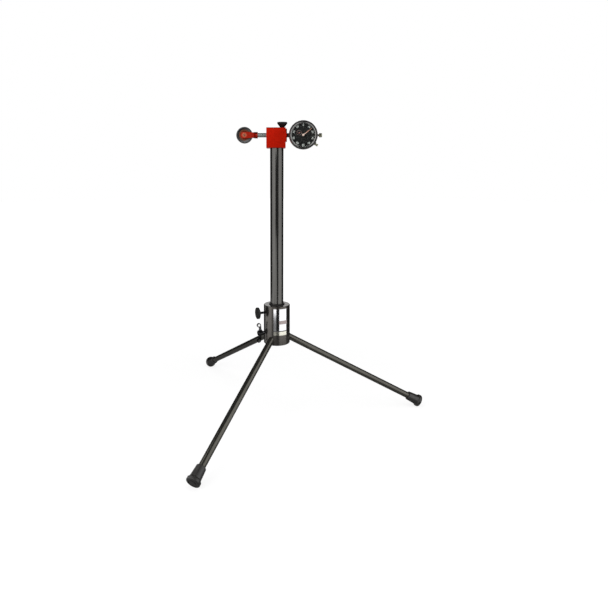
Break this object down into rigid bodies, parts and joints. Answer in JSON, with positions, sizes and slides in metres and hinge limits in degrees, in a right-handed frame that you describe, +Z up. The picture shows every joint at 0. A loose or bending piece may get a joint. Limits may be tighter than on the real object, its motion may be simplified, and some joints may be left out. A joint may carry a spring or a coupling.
{
  "type": "runout gauge",
  "caption": "Runout gauge: a sprung roller in a red head block drives a dial indicator, on a post that slides in a hub with splayed, rubber-footed legs.",
  "frame": {"origin": "on the floor, on the axis of the post", "axes": "+Z up along the post; the dial faces -Y and the roller points to -X"},
  "size_m": [0.4672, 0.5152, 0.5689],
  "materials": {
    "hub_paint": "dark grey, satin powder coat",
    "leg_black": "black, satin",
    "foot_rubber": "black rubber, matt",
    "bush_plastic": "black bearing plastic",
    "foil": "silver foil, plain",
    "knob_plastic": "black moulded plastic",
    "dark_steel": "black oxide",
    "dark_plating": "dark bright plating",
    "post_black": "black, satin",
    "red_anodised": "red anodised, satin",
    "polished_steel": "ground and polished",
    "bronze": "plain bronze",
    "tyre_rubber": "dark grey rubber",
    "wheel_metal": "turned, warm tinted",
    "case_metal": "dark, satin",
    "bezel_metal": "dark satin plating",
    "crystal_clear": "clear",
    "dial_black": "black print",
    "hand_paint": "salmon paint",
    "small_metal": "plain",
    "movement_brass": "plain, cut",
    "movement_steel": "plain, cut"
  },
  "bodies": {
    "base": {"hub": "hub_paint", "guide_bush": "bush_plastic", "lower_bush": "bush_plastic", "label_plate": "foil", "leg_rod_1": "leg_black", "leg_rod_2": "leg_black", "leg_rod_3": "leg_black", "foot_1": "foot_rubber", "foot_2": "foot_rubber", "foot_3": "foot_rubber"},
    "upper_clamp": {"upper_clamp_stud": "dark_steel", "upper_clamp_knob": "knob_plastic"},
    "wing_clamp": {"wing_screw": "dark_plating"},
    "post": {"post_tube": "post_black", "post_plug": "bush_plastic"},
    "head": {"head_block": "red_anodised", "post_set_screw": "dark_steel", "rod_bush": "bronze"},
    "dial_clamp": {"dial_clamp_stud": "dark_steel", "dial_clamp_knob": "knob_plastic"},
    "collar": {"stem_collar": "red_anodised"},
    "dial": {"dial_case": "case_metal", "back_cover": "case_metal", "cover_screws": "small_metal", "dial_stem": "case_metal", "end_bush": "bronze", "inner_dial": "dial_black", "bezel_clip": "small_metal", "front_bridge": "movement_brass", "rear_bridge": "movement_brass", "spindle_guide": "movement_brass", "snap_ring": "movement_steel"},
    "bezel_ring": {"bezel": "bezel_metal", "crystal": "crystal_clear", "outer_scale": "dial_black"},
    "bezel_clamp": {"bezel_clip_screw": "small_metal"},
    "plunger": {"spindle": "polished_steel", "spindle_key": "movement_steel", "spindle_knob": "small_metal", "push_rod": "polished_steel", "fork": "red_anodised", "axle_pin": "polished_steel", "axle_clip": "dark_steel"},
    "roller": {"roller_tyre": "tyre_rubber", "roller_wheel": "wheel_metal", "roller_bush": "bronze"},
    "train": {"rack_arbor": "movement_steel", "rack_pinion": "movement_steel", "train_wheel": "movement_brass"},
    "pointer": {"main_hand": "hand_paint", "centre_arbor": "small_metal", "centre_pinion": "movement_steel", "counter_pinion": "movement_steel"},
    "counter": {"counter_hand": "hand_paint", "counter_arbor": "small_metal", "counter_wheel": "movement_brass"}
  },
  "joints": [
    {"name": "post_height", "type": "slide", "parent": "base", "child": "post", "axis": [0, 0, 1], "range_m": [-0.135, 0.008]},
    {"name": "head_swivel", "type": "hinge", "parent": "post", "child": "head", "pos_m": [0, 0, 0.53295], "axis": [0, 0, 1], "continuous": true},
    {"name": "dial_tilt", "type": "hinge", "parent": "head", "child": "collar", "pos_m": [0.0189, 0, 0.54195], "axis": [1, 0, 0], "range_deg": [-90, 90]},
    {"name": "dial_reach", "type": "slide", "parent": "collar", "child": "dial", "axis": [1, 0, 0], "range_m": [-0.003, 0.003]},
    {"name": "plunger_travel", "type": "slide", "parent": "dial", "child": "plunger", "axis": [1, 0, 0], "range_m": [0, 0.0127], "stiffness_N_per_m": 40, "springref_m": -0.015},
    {"name": "roller_spin", "type": "hinge", "parent": "plunger", "child": "roller", "pos_m": [-0.0609, 0, 0.54195], "axis": [0, 1, 0], "continuous": true},
    {"name": "bezel_turn", "type": "hinge", "parent": "dial", "child": "bezel_ring", "pos_m": [0.0494, 0, 0.54195], "axis": [0, 1, 0], "continuous": true},
    {"name": "bezel_clamp_turn", "type": "hinge", "parent": "dial", "child": "bezel_clamp", "pos_m": [0.0494, 0, 0.54195], "axis": [0.8192, 0, -0.5736], "range_deg": [0, 360]},
    {"name": "upper_clamp_turn", "type": "hinge", "parent": "base", "child": "upper_clamp", "pos_m": [0, 0, 0.20265], "axis": [-0.9205, -0.3907, 0], "range_deg": [0, 360]},
    {"name": "wing_clamp_turn", "type": "hinge", "parent": "base", "child": "wing_clamp", "pos_m": [0, 0, 0.16355], "axis": [-0.9205, -0.3907, 0], "range_deg": [0, 360]},
    {"name": "dial_clamp_turn", "type": "hinge", "parent": "head", "child": "dial_clamp", "pos_m": [0.0102, 0, 0.55515], "axis": [0, 0, 1], "range_deg": [0, 360]},
    {"name": "pointer_turn", "type": "hinge", "parent": "dial", "child": "pointer", "pos_m": [0.0494, 0, 0.54195], "axis": [0, 1, 0], "range_deg": [0, 1800.5]},
    {"name": "counter_turn", "type": "hinge", "parent": "dial", "child": "counter", "pos_m": [0.0417, 0, 0.54578], "axis": [0, 1, 0], "range_deg": [-360.5, 0]},
    {"name": "train_turn", "type": "hinge", "parent": "dial", "child": "train", "pos_m": [0.05784, 0, 0.54507], "axis": [0, 1, 0], "range_deg": [-450.5, 0]}
  ],
  "couplings": [
    {"joint": "pointer_turn", "follows": "plunger_travel", "rad_per_m": 2473.7},
    {"joint": "counter_turn", "follows": "plunger_travel", "rad_per_m": -494.74},
    {"joint": "train_turn", "follows": "plunger_travel", "rad_per_m": -618.42}
  ]
}
